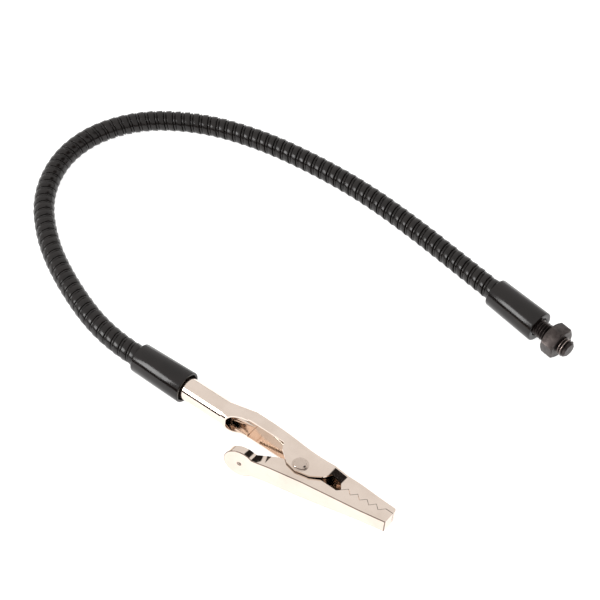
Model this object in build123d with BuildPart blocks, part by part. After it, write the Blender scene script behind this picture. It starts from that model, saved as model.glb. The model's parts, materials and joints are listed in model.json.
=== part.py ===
"""Flexible stay-put arm: a gooseneck with a threaded stud at one end and a crocodile clip at the other.

Millimetres, +Z up. The arm lies on a table at Z = 0 and its axis runs level at AXIS_HEIGHT. The
path starts at the stud end and is followed link by link to the clip. The row's origin is the middle
of the arm's footprint on the table.
"""

import os
from math import cos, pi, radians, sin

from build123d import *

# Arm axis and the place where the neck leaves the stud end's ferrule
AXIS_HEIGHT = 4.345
START_X = 53.88
START_Y = 2.66
START_HEADING = 132.14

# Gooseneck: rib pitch, link length in ribs and the turn of each link's arc, from stud to clip
NECK_RADIUS = 3.0
RIB_PITCH = 2.68
RIBS_PER_LINK = 7
LINK_TURNS = [0.0, 3.0, 7.0, 6.0, 11.0, 19.0, 32.0, 39.0, 30.0, 16.0, 9.0, 18.5]
CORE_INSET = 0.45
CORE_RADIUS = NECK_RADIUS - CORE_INSET
BAND_WIDTH = 1.45
BAND_CHAMFER = 0.35
WIRE_RADIUS = 0.42
WIRE_DEPTH = 0.18
LINK_LENGTH = RIB_PITCH * RIBS_PER_LINK

# Ball and socket that carry the flex between two links
BALL_INSET = 0.15
BALL_RADIUS = NECK_RADIUS - BALL_INSET
BALL_CLEARANCE = 0.10
RIM_START = 0.9
RIM_END = 1.75

# Ferrules: tapered collars that grip the neck's ends, with a web between the neck and what faces it
FERRULE_LENGTH = 16.0
FERRULE_SMALL_RADIUS = 4.05
FERRULE_LARGE_RADIUS = 4.35
FERRULE_CHAMFER = 0.35
TAIL_GRIP = 7.0
STUD_WEB = 1.0
BARREL_WEB = 2.0

# Mounting stud and its nut, M5
STUD_RADIUS = 2.5
STUD_EXPOSED = 10.4
STUD_GRIP = FERRULE_LENGTH - TAIL_GRIP - STUD_WEB
STUD_TIP_CHAMFER = 0.7
NUT_ACROSS_FLATS = 8.0
NUT_THICKNESS = 4.0
NUT_CLEARANCE = 0.06
NUT_GAP = 3.8
NUT_TURN = 10.0
NUT_CORNER_CHAMFER = 0.45

# Clip: stations are measured along its axis from the ferrule's mouth, heights across it
CLIP_ROLL = 7.0
SHEET = 0.45
BARREL_RADIUS = 3.1
BARREL_GRIP = FERRULE_LENGTH - TAIL_GRIP - BARREL_WEB
BARREL_END = 13.0
BARREL_CORNER_FLAT = 0.2
HANDLE_START = 20.0
HANDLE_HALF_WIDTH = 3.55
HANDLE_HEIGHT = 3.25
FOLD_RADIUS = 1.0
INNER_FOLD = 0.1
WAIST_ROUND = 3.0
TIP_X = 64.0
TIP_WALL = 1.1
TIP_NOSE = [(64.0, 1.3), (63.6, 2.0), (62.9, 2.45), (58.0, 5.0)]
UPPER_BACK = [(20.0, 3.3), (26.0, 3.22), (31.0, 2.95), (38.0, 2.25), (45.5, 2.3), (50.0, 2.7), (64.0, 2.45)]
UPPER_WIDTH = [(20.0, 3.6), (45.5, 3.75), (49.5, 2.5), (57.0, 1.98), (64.0, 1.9)]
MOUTH_CUT = [(13.6, -3.4), (15.8, -2.1), (18.3, -0.8), (21.0, -0.35)]
EAR_REAR = [(31.2, -0.35), (32.3, -2.4), (35.6, -5.1), (38.6, -5.75)]
EAR_FRONT = [(42.4, -4.9), (45.2, -2.9), (46.4, -0.8)]
THROAT_X = 49.2
THROAT_Y = -0.8

# Teeth, shared by both jaws: they mesh along one sloping line
TOOTH_PITCH = 2.55
TOOTH_DEPTH = 1.3
TOOTH_COUNT = 5
TOOTH_START_X = 50.35
MOUTH_START_Y = -1.75
MOUTH_SLOPE = 0.13
MOUTH_GAP = 0.16

# Pivot, lower jaw and its thumb pad
PIVOT_X = 38.7
PIVOT_Y = -3.5
PIN_RADIUS = 1.3
PIN_CLEARANCE = 0.05
HEAD_STEP = 0.4
HEAD_RADIUS = PIN_RADIUS + HEAD_STEP
HEAD_HEIGHT = 0.6
LOWER_EAR_RADIUS = 2.9
LOWER_BACK = [(21.0, -11.6), (29.0, -9.95), (33.0, -8.95), (64.0, -3.1)]
LOWER_WIDTH = [(29.5, 3.0), (42.0, 2.98), (49.5, 2.5), (57.0, 1.98), (64.0, 1.9)]
PAD_X = 25.5
PAD_RADIUS = 4.3
PAD_FLANGE = 2.0
PAD_DIMPLE_RADIUS = 0.5

# Torsion spring between the jaws
SPRING_WIRE = 0.35
COIL_CLEARANCE = 0.2
SPRING_RADIUS = PIN_RADIUS + COIL_CLEARANCE + SPRING_WIRE
SPRING_PITCH = 0.78
SPRING_FULL_TURNS = 4
UPPER_LEG_SLOPE = 12.5
UPPER_LEG_LENGTH = 18.0
LOWER_LEG_SLOPE = 21.0
LOWER_LEG_LENGTH = 9.5


def arm_frame(x, y, heading):
    """A plane on the arm's axis: x along the arm, z up."""
    ahead = Vector(cos(radians(heading)), sin(radians(heading)), 0)
    return Plane(origin=(x, y, AXIS_HEIGHT), x_dir=ahead, z_dir=(0, 0, 1))


def advance(frame, length, turn=0.0):
    """The frame reached after an arc of the given length and turn."""
    if turn == 0.0:
        point = frame.from_local_coords(Vector(length, 0, 0))
    else:
        radius = length / radians(turn)
        ahead = radius * sin(radians(turn))
        aside = radius * (1 - cos(radians(turn)))
        point = frame.from_local_coords(Vector(ahead, aside, 0))
    heading = frame.x_dir.rotate(Axis.Z, turn)
    return Plane(origin=point, x_dir=heading, z_dir=(0, 0, 1))


def across(frame, distance):
    """The plane square to the arm, a distance ahead of a frame."""
    return Plane(origin=frame.from_local_coords(Vector(distance, 0, 0)), x_dir=frame.y_dir, z_dir=frame.x_dir)


def save(part, name):
    """Label one piece and write it under its node name."""
    part.label = name
    export_step(part, f"parts/{name}.step")


os.makedirs("parts", exist_ok=True)

# Stations: each joint of the neck, then the two ferrules and the clip
ferrule_a_mouth = arm_frame(START_X, START_Y, START_HEADING)
joints = [advance(ferrule_a_mouth, RIB_PITCH)]
for turn in LINK_TURNS:
    joints.append(advance(joints[-1], LINK_LENGTH, turn))
ferrule_b_mouth = advance(joints[-1], RIB_PITCH)
stud_face = advance(ferrule_a_mouth, -FERRULE_LENGTH)
clip_face = advance(ferrule_b_mouth, FERRULE_LENGTH)
clip_up = clip_face.z_dir.rotate(Axis((0, 0, 0), clip_face.x_dir), -CLIP_ROLL)
clip = Plane(origin=clip_face.origin, x_dir=clip_face.x_dir, z_dir=clip_up)


# One rib: the wide outer band and the round wire that lies beside it
with BuildPart() as rib:
    Cylinder(NECK_RADIUS, BAND_WIDTH)
    chamfer(rib.edges(), BAND_CHAMFER)
    with Locations((0, 0, RIB_PITCH / 2)):
        Torus(NECK_RADIUS - WIRE_DEPTH - WIRE_RADIUS, WIRE_RADIUS)


def neck_link(start, turn):
    """A link: socket rim, ribs along the arc, and a ball round the next joint."""
    end = advance(start, LINK_LENGTH, turn)
    with BuildPart() as link:
        with BuildLine(start) as centreline:
            if turn == 0.0:
                Line((0, 0), (LINK_LENGTH, 0))
            else:
                JernArc(start=(0, 0), tangent=(1, 0), radius=LINK_LENGTH / radians(turn), arc_size=turn)
        with BuildSketch(across(start, 0)):
            Circle(CORE_RADIUS)
        sweep(path=centreline.line)
        with Locations(across(end, 0).location):
            Sphere(BALL_RADIUS)
        with BuildSketch(across(start, RIM_START)):
            Circle(NECK_RADIUS)
        extrude(amount=RIM_END - RIM_START)
        places = []
        for number in range(1, RIBS_PER_LINK):
            station = number / RIBS_PER_LINK
            here = advance(start, LINK_LENGTH * station, turn * station)
            places.append(across(here, 0).location)
        with Locations(*places):
            add(rib.part)
        with BuildSketch(across(start, -LINK_LENGTH / 2)):
            Circle(2 * NECK_RADIUS)
        extrude(amount=LINK_LENGTH / 2 + RIM_START, mode=Mode.SUBTRACT)
        with Locations(across(start, 0).location):
            Sphere(BALL_RADIUS + BALL_CLEARANCE, mode=Mode.SUBTRACT)
    return link.part


for number, turn in enumerate(LINK_TURNS, start=1):
    save(neck_link(joints[number - 1], turn), f"neck_link_{number:02d}")

# The neck's two gripped ends: a ball stands out of the stud's ferrule, a socket out of the clip's
with BuildPart() as neck_end_stud:
    with BuildSketch(across(ferrule_a_mouth, -TAIL_GRIP)):
        Circle(NECK_RADIUS)
    extrude(amount=TAIL_GRIP)
    with BuildSketch(across(ferrule_a_mouth, 0)):
        Circle(CORE_RADIUS)
    extrude(amount=RIB_PITCH)
    with Locations(across(joints[0], 0).location):
        Sphere(BALL_RADIUS)

with BuildPart() as neck_end_clip:
    with BuildSketch(across(joints[-1], RIM_START)):
        Circle(NECK_RADIUS)
    extrude(amount=RIB_PITCH - RIM_START + TAIL_GRIP)
    with Locations(across(joints[-1], 0).location):
        Sphere(BALL_RADIUS + BALL_CLEARANCE, mode=Mode.SUBTRACT)


def ferrule(mouth, direction, deep_radius, deep_depth):
    """A tapered collar. The mouth takes the neck; the other end has its own bore."""
    base = Plane(origin=mouth.origin, x_dir=mouth.y_dir, z_dir=mouth.x_dir * direction)
    with BuildPart() as collar:
        with BuildSketch(base):
            Circle(FERRULE_SMALL_RADIUS)
        with BuildSketch(base.offset(FERRULE_LENGTH)):
            Circle(FERRULE_LARGE_RADIUS)
        loft()
        chamfer(collar.edges().filter_by(GeomType.CIRCLE), FERRULE_CHAMFER)
        with BuildSketch(base):
            Circle(NECK_RADIUS)
        extrude(amount=TAIL_GRIP, mode=Mode.SUBTRACT)
        with BuildSketch(base.offset(FERRULE_LENGTH)):
            Circle(deep_radius)
        extrude(amount=-deep_depth, mode=Mode.SUBTRACT)
    return collar.part


stud_end_ferrule = ferrule(ferrule_a_mouth, -1, STUD_RADIUS, STUD_GRIP)
clip_end_ferrule = ferrule(ferrule_b_mouth, 1, BARREL_RADIUS, BARREL_GRIP)

# Stud: a plain shank at the thread's crest radius
stud_base = Plane(origin=stud_face.origin, x_dir=stud_face.y_dir, z_dir=-stud_face.x_dir)
with BuildPart() as threaded_stud:
    with BuildSketch(stud_base.offset(-STUD_GRIP)):
        Circle(STUD_RADIUS)
    extrude(amount=STUD_GRIP + STUD_EXPOSED)
    stud_tip = threaded_stud.faces().sort_by(Axis(stud_base.origin, stud_base.z_dir))[-1]
    chamfer(stud_tip.edges(), STUD_TIP_CHAMFER)

# Nut: its corners are turned off on both faces
nut_base = stud_base.offset(NUT_GAP)
nut_corner_radius = NUT_ACROSS_FLATS / 2 / cos(pi / 6)
with BuildPart() as hex_nut:
    with BuildSketch(nut_base):
        RegularPolygon(NUT_ACROSS_FLATS / 2, 6, major_radius=False, rotation=NUT_TURN)
    extrude(amount=NUT_THICKNESS)
    with BuildSketch(nut_base):
        Circle(nut_corner_radius)
    extrude(amount=NUT_THICKNESS, mode=Mode.INTERSECT)
    with BuildSketch(nut_base):
        Circle(STUD_RADIUS + NUT_CLEARANCE)
    extrude(amount=NUT_THICKNESS, mode=Mode.SUBTRACT)
    bore_rims = hex_nut.edges().filter_by(GeomType.CIRCLE)
    chamfer(bore_rims, NUT_CORNER_CHAMFER)


# Clip planes: side is the jaws' profile, plan is looked at from the jaws' backs
side = clip
plan = Plane(origin=clip.origin, x_dir=clip.x_dir, z_dir=-clip.y_dir)


def tooth_line(gap):
    """The zigzag between the jaws, from throat to tip."""
    points = []
    for number in range(2 * TOOTH_COUNT):
        x = TOOTH_START_X + number * TOOTH_PITCH / 2
        swing = -TOOTH_DEPTH / 2 if number % 2 == 0 else TOOTH_DEPTH / 2
        points.append((x, MOUTH_START_Y + MOUTH_SLOPE * (x - TOOTH_START_X) + swing - gap))
    return points


def half_width(stations, inset):
    """Both edges of a channel seen from its back, as one closed outline."""
    near = [(x, w - inset) for x, w in stations]
    far = [(x, -w + inset) for x, w in reversed(stations)]
    return near + far


def upper_envelope(inset, fold, rear, front):
    """Barrel, flare and channel as one solid, drawn in by the sheet's thickness for the hollow."""
    back = [(x, y - inset) for x, y in UPPER_BACK]
    barrel_side = 2 * (BARREL_RADIUS - inset)
    with BuildPart() as envelope:
        with BuildSketch(across(clip, rear)):
            Circle(BARREL_RADIUS - inset)
        extrude(amount=BARREL_END - rear)
        with BuildSketch(across(clip, BARREL_END)):
            RectangleRounded(barrel_side, barrel_side, barrel_side / 2 - BARREL_CORNER_FLAT)
        with BuildSketch(across(clip, HANDLE_START)):
            handle_width = 2 * (HANDLE_HALF_WIDTH - inset)
            RectangleRounded(handle_width, 2 * (HANDLE_HEIGHT - inset), fold)
        loft()
    with BuildPart() as channel:
        with BuildSketch(plan) as outline:
            with BuildLine():
                Polyline(*half_width(UPPER_WIDTH, inset), close=True)
            make_face()
            bends = outline.vertices().filter_by(lambda v: HANDLE_START + 1 < v.X < TIP_X - 1)
            fillet(bends, WAIST_ROUND)
        extrude(amount=14, both=True)
        with BuildSketch(side):
            with BuildLine():
                Spline(*back, tangents=[(1, 0), (1, -0.02)])
                Polyline(back[-1], (back[-1][0], -14), (back[0][0], -14), back[0])
            make_face()
        extrude(amount=8, both=True, mode=Mode.INTERSECT)
        folds = []
        for edge in channel.edges():
            middle = clip.to_local_coords(edge @ 0.5)
            if middle.Y > 0.5 and abs(middle.Z) > 1.0 and HANDLE_START + 0.1 < middle.X < TIP_X - 0.1:
                folds.append(edge)
        if inset == 0.0:
            fillet(folds, fold)
        with BuildSketch(across(clip, front)):
            Rectangle(30, 40)
        extrude(amount=10, mode=Mode.SUBTRACT)
    with BuildPart() as joined:
        add(envelope.part)
        add(channel.part)
    return joined.part


upper_outer = upper_envelope(0.0, FOLD_RADIUS, -BARREL_GRIP, TIP_X)
upper_hollow = upper_envelope(SHEET, INNER_FOLD, -BARREL_GRIP - 1, TIP_X - TIP_WALL)
with BuildPart() as upper_jaw:
    add(upper_outer)
    with BuildSketch(side):
        with BuildLine():
            teeth = tooth_line(0.0)
            corners = [(-BARREL_GRIP, 5.0), (-BARREL_GRIP, -5.0), (MOUTH_CUT[0][0], -5.0)]
            corners += MOUTH_CUT + EAR_REAR + EAR_FRONT + [(THROAT_X, THROAT_Y)] + teeth
            corners += [(TIP_X, teeth[-1][1])] + TIP_NOSE
            Polyline(*corners, close=True)
        make_face()
    extrude(amount=8, both=True, mode=Mode.INTERSECT)
    add(upper_hollow, mode=Mode.SUBTRACT)
    with BuildSketch(side):
        with Locations((PIVOT_X, PIVOT_Y)):
            Circle(PIN_RADIUS)
    extrude(amount=8, both=True, mode=Mode.SUBTRACT)


def lower_envelope(inset, front):
    """Pad and channel of the lower jaw as one solid, drawn in for the hollow."""
    back = [(x, y + inset) for x, y in LOWER_BACK]
    with BuildPart() as envelope:
        with BuildSketch(plan):
            with BuildLine():
                Polyline(*half_width(LOWER_WIDTH, inset), close=True)
            make_face()
            with Locations((PAD_X, 0)):
                Circle(PAD_RADIUS - inset)
            with Locations(((PAD_X + LOWER_WIDTH[0][0]) / 2 + 1, 0)):
                Rectangle(LOWER_WIDTH[0][0] - PAD_X + 2, 2 * (LOWER_WIDTH[0][1] - inset))
        extrude(amount=14, both=True)
        with BuildSketch(side):
            with BuildLine():
                Polyline(*back, (TIP_X, 4), (20, 4), (20, back[0][1]), close=True)
            make_face()
        extrude(amount=8, both=True, mode=Mode.INTERSECT)
        with BuildSketch(across(clip, front)):
            Rectangle(40, 40)
        extrude(amount=10, mode=Mode.SUBTRACT)
    return envelope.part


lower_outer = lower_envelope(0.0, TIP_X)
lower_hollow = lower_envelope(SHEET, TIP_X - TIP_WALL)
with BuildPart() as lower_jaw:
    add(lower_outer)
    with BuildSketch(side):
        with BuildLine():
            teeth = tooth_line(MOUTH_GAP)
            corners = [(20.0, -14.0), (20.0, LOWER_BACK[0][1] + PAD_FLANGE)]
            corners += [(28.0, LOWER_BACK[1][1] + PAD_FLANGE)]
            corners += [(32.5, -5.0), (36.0, PIVOT_Y), (41.5, PIVOT_Y), (45.5, -3.5), (49.6, -3.4)]
            corners += teeth + [(TIP_X, teeth[-1][1]), (TIP_X, -14.0)]
            Polyline(*corners, close=True)
        make_face()
        with Locations((PIVOT_X, PIVOT_Y)):
            Circle(LOWER_EAR_RADIUS)
    extrude(amount=8, both=True, mode=Mode.INTERSECT)
    add(lower_hollow, mode=Mode.SUBTRACT)
    with BuildSketch(side):
        with Locations((PIVOT_X, PIVOT_Y)):
            Circle(PIN_RADIUS + PIN_CLEARANCE)
    extrude(amount=8, both=True, mode=Mode.SUBTRACT)
    pad_drop = (PAD_X - LOWER_BACK[0][0]) / (LOWER_BACK[1][0] - LOWER_BACK[0][0])
    pad_y = LOWER_BACK[0][1] + pad_drop * (LOWER_BACK[1][1] - LOWER_BACK[0][1])
    with Locations(Location(side.from_local_coords(Vector(PAD_X, pad_y - PAD_DIMPLE_RADIUS / 2, 0)))):
        Sphere(PAD_DIMPLE_RADIUS, mode=Mode.SUBTRACT)

# Rivet: one shank through all four ears with a domed head on each side
ear_face = UPPER_WIDTH[1][1]
with BuildPart() as pivot_rivet:
    with BuildSketch(side):
        with Locations((PIVOT_X, PIVOT_Y)):
            Circle(PIN_RADIUS)
    extrude(amount=ear_face, both=True)
    for direction in (1, -1):
        with BuildSketch(side.offset(direction * ear_face)):
            with Locations((PIVOT_X, PIVOT_Y)):
                Circle(HEAD_RADIUS)
        extrude(amount=direction * HEAD_HEIGHT, taper=25)

# Spring: a coil round the rivet that runs off at a tangent into one leg under each jaw's back
coil_start = LOWER_LEG_SLOPE - 90
coil_turns = SPRING_FULL_TURNS + (90 - UPPER_LEG_SLOPE - coil_start) / 360
coil_height = SPRING_PITCH * coil_turns
coil_foot = side.from_local_coords(Vector(PIVOT_X, PIVOT_Y, -coil_height / 2))
coil_ahead = side.x_dir.rotate(Axis((0, 0, 0), side.z_dir), coil_start)
coil_base = Plane(origin=coil_foot, x_dir=coil_ahead, z_dir=side.z_dir)
coil_end = radians(360 * coil_turns)
with BuildPart() as spring_at_origin:
    with BuildLine() as coil:
        Helix(SPRING_PITCH, coil_height, SPRING_RADIUS)
    with BuildSketch(Plane(origin=coil.line @ 0, z_dir=coil.line % 0)):
        Circle(SPRING_WIRE)
    sweep(path=coil.line, is_frenet=True)
    with BuildSketch(Plane(origin=coil.line @ 0, z_dir=(0, -1, 0))):
        Circle(SPRING_WIRE)
    extrude(amount=LOWER_LEG_LENGTH)
    with BuildSketch(Plane(origin=coil.line @ 1, z_dir=(-sin(coil_end), cos(coil_end), 0))):
        Circle(SPRING_WIRE)
    extrude(amount=UPPER_LEG_LENGTH)

with BuildPart() as jaw_spring:
    with Locations(coil_base.location):
        add(spring_at_origin.part)

save(neck_end_stud.part, "neck_end_stud")
save(neck_end_clip.part, "neck_end_clip")
save(stud_end_ferrule, "stud_end_ferrule")
save(clip_end_ferrule, "clip_end_ferrule")
save(threaded_stud.part, "threaded_stud")
save(hex_nut.part, "hex_nut")
save(upper_jaw.part, "upper_jaw")
save(lower_jaw.part, "lower_jaw")
save(pivot_rivet.part, "pivot_rivet")
save(jaw_spring.part, "jaw_spring")
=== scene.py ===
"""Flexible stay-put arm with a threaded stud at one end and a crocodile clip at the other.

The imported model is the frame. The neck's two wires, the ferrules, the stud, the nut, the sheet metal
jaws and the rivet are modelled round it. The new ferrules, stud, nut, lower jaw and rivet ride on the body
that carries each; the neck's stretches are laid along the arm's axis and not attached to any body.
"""

import json
import logging
import math
from dataclasses import dataclass, field
from enum import Enum
from typing import Callable

import bpy
from mathutils import Matrix, Vector

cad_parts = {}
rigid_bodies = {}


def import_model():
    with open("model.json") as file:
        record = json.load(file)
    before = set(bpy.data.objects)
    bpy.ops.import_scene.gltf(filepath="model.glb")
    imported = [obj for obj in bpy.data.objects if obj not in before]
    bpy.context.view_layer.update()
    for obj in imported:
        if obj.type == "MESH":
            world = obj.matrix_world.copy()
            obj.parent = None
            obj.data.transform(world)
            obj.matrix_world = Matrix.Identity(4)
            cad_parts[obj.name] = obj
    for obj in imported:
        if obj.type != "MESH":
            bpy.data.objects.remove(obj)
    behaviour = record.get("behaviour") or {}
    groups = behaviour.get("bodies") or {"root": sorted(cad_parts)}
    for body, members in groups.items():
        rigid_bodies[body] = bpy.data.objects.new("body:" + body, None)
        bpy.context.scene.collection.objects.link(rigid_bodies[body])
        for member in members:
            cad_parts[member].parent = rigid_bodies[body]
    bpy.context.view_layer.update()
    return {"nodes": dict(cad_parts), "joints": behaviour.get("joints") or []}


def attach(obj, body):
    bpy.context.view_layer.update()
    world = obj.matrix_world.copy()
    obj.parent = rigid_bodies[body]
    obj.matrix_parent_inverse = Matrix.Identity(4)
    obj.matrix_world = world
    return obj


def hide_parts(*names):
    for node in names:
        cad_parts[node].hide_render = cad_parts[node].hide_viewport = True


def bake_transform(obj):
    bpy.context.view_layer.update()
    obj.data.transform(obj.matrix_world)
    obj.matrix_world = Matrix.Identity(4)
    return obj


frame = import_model()

MM = 0.001
AXIS_HEIGHT = 4.345 * MM
log = logging.getLogger("stay_put_arm")


class Slot(Enum):
    """The record's material slot names, listed here; no piece in the script uses them."""

    NECK = "black_neck"
    COLLAR = "black_collar"
    OXIDE = "black_oxide"
    SHEET = "nickel_sheet"
    RIVET = "nickel_rivet"


# ---------------------------------------------------------------- bench


class Bench:
    """The modelling moves that every sub-assembly uses."""

    @staticmethod
    def clear() -> None:
        """Deselect every object."""
        for thing in bpy.data.objects:
            if thing.name in bpy.context.view_layer.objects:
                thing.select_set(False)

    @staticmethod
    def pick(piece: bpy.types.Object) -> None:
        """Select one piece alone and make it active.

        Args:
            piece: the object to work on.
        """
        Bench.clear()
        piece.select_set(True)
        bpy.context.view_layer.objects.active = piece

    @staticmethod
    def settle(piece: bpy.types.Object) -> None:
        """Bake a piece's place, turn and scale into its mesh.

        Args:
            piece: the object to settle.
        """
        Bench.pick(piece)
        bpy.ops.object.transform_apply(location=True, rotation=True, scale=True)

    @staticmethod
    def choose_faces(piece: bpy.types.Object, test: Callable[[Vector, Vector], bool]) -> None:
        """Enter edit mode with only the faces that pass a test selected.

        Args:
            piece: the object to edit.
            test: takes a face's centre and normal and says whether it is wanted.
        """
        Bench.pick(piece)
        bpy.ops.object.mode_set(mode="EDIT")
        bpy.ops.mesh.select_mode(type="FACE")
        bpy.ops.mesh.select_all(action="DESELECT")
        bpy.ops.object.mode_set(mode="OBJECT")
        for face in piece.data.polygons:
            face.select = test(face.center, face.normal)
        bpy.ops.object.mode_set(mode="EDIT")

    @staticmethod
    def leave() -> None:
        """Go back to object mode."""
        bpy.ops.object.mode_set(mode="OBJECT")

    @staticmethod
    def clean(piece: bpy.types.Object, distance: float = 0.002 * MM) -> None:
        """Merge doubled vertices, close open rims and turn every face outwards.

        Args:
            piece: the object to clean.
            distance: vertices nearer than this become one.
        """
        Bench.pick(piece)
        bpy.ops.object.mode_set(mode="EDIT")
        bpy.ops.mesh.select_all(action="SELECT")
        bpy.ops.mesh.remove_doubles(threshold=distance)
        bpy.ops.mesh.fill_holes(sides=0)
        bpy.ops.mesh.select_all(action="SELECT")
        bpy.ops.mesh.normals_make_consistent(inside=False)
        bpy.ops.object.mode_set(mode="OBJECT")

    @staticmethod
    def apply(piece: bpy.types.Object) -> None:
        """Apply every modifier of a piece in order.

        Args:
            piece: the object whose modifiers are applied.
        """
        Bench.pick(piece)
        for name in [modifier.name for modifier in piece.modifiers]:
            bpy.ops.object.modifier_apply(modifier=name)

    @staticmethod
    def soften(piece: bpy.types.Object, width: float, segments: int, angle: float) -> None:
        """Round the hard edges of a piece with a bevel.

        Args:
            piece: the object to soften.
            width: bevel width in metres.
            segments: faces across the bevel.
            angle: edges sharper than this many degrees are rounded.
        """
        bevel = piece.modifiers.new("edge_round", "BEVEL")
        bevel.width = width
        bevel.segments = segments
        bevel.limit_method = "ANGLE"
        bevel.angle_limit = math.radians(angle)
        Bench.apply(piece)

    @staticmethod
    def smooth(piece: bpy.types.Object, angle: float) -> None:
        """Shade a piece smooth except across its sharp edges.

        Args:
            piece: the object to shade.
            angle: edges sharper than this many degrees stay crisp.
        """
        Bench.pick(piece)
        bpy.ops.object.shade_smooth_by_angle(angle=math.radians(angle))

    @staticmethod
    def bar(radius: float, length: float, sides: int, base: float = 0.0) -> bpy.types.Object:
        """A round or flat-sided bar along +Z.

        Args:
            radius: from the axis to a corner.
            length: its length.
            sides: how many sides it has.
            base: the height of its lower end.

        Returns:
            The bar.
        """
        Bench.clear()
        bpy.ops.mesh.primitive_cylinder_add(vertices=sides, radius=radius, depth=length,
                                            location=(0, 0, base + length / 2))
        bar = bpy.context.object
        Bench.settle(bar)
        return bar

    @staticmethod
    def carve(piece: bpy.types.Object, tool: bpy.types.Object, operation: str) -> None:
        """Cut a piece with a tool body and throw the tool away.

        Args:
            piece: the object that is cut.
            tool: the closed body that cuts it.
            operation: DIFFERENCE, INTERSECT or UNION.
        """
        cut = piece.modifiers.new("carve", "BOOLEAN")
        cut.operation = operation
        cut.object = tool
        cut.solver = "EXACT"
        Bench.apply(piece)
        bpy.data.objects.remove(tool)

    @staticmethod
    def stand(piece: bpy.types.Object, origin: Vector, axis: Vector, side: Vector) -> None:
        """Turn a piece built along +Z so that it runs along an axis, and put its zero at a place.

        Args:
            piece: the object, modelled round the world's zero.
            origin: where its zero goes.
            axis: the direction its +Z takes.
            side: the direction its +X takes, square to the axis.
        """
        third = axis.cross(side)
        turn = Matrix((side, third, axis)).transposed().to_4x4()
        piece.matrix_world = Matrix.Translation(origin) @ turn
        Bench.settle(piece)

    @staticmethod
    def join(first: bpy.types.Object, others: list[bpy.types.Object]) -> bpy.types.Object:
        """Make several objects one piece.

        Args:
            first: the object that stays.
            others: the objects that become part of it.

        Returns:
            The joined object.
        """
        Bench.pick(first)
        for other in others:
            other.select_set(True)
        bpy.ops.object.join()
        return first


# ---------------------------------------------------------------- finishes


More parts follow.
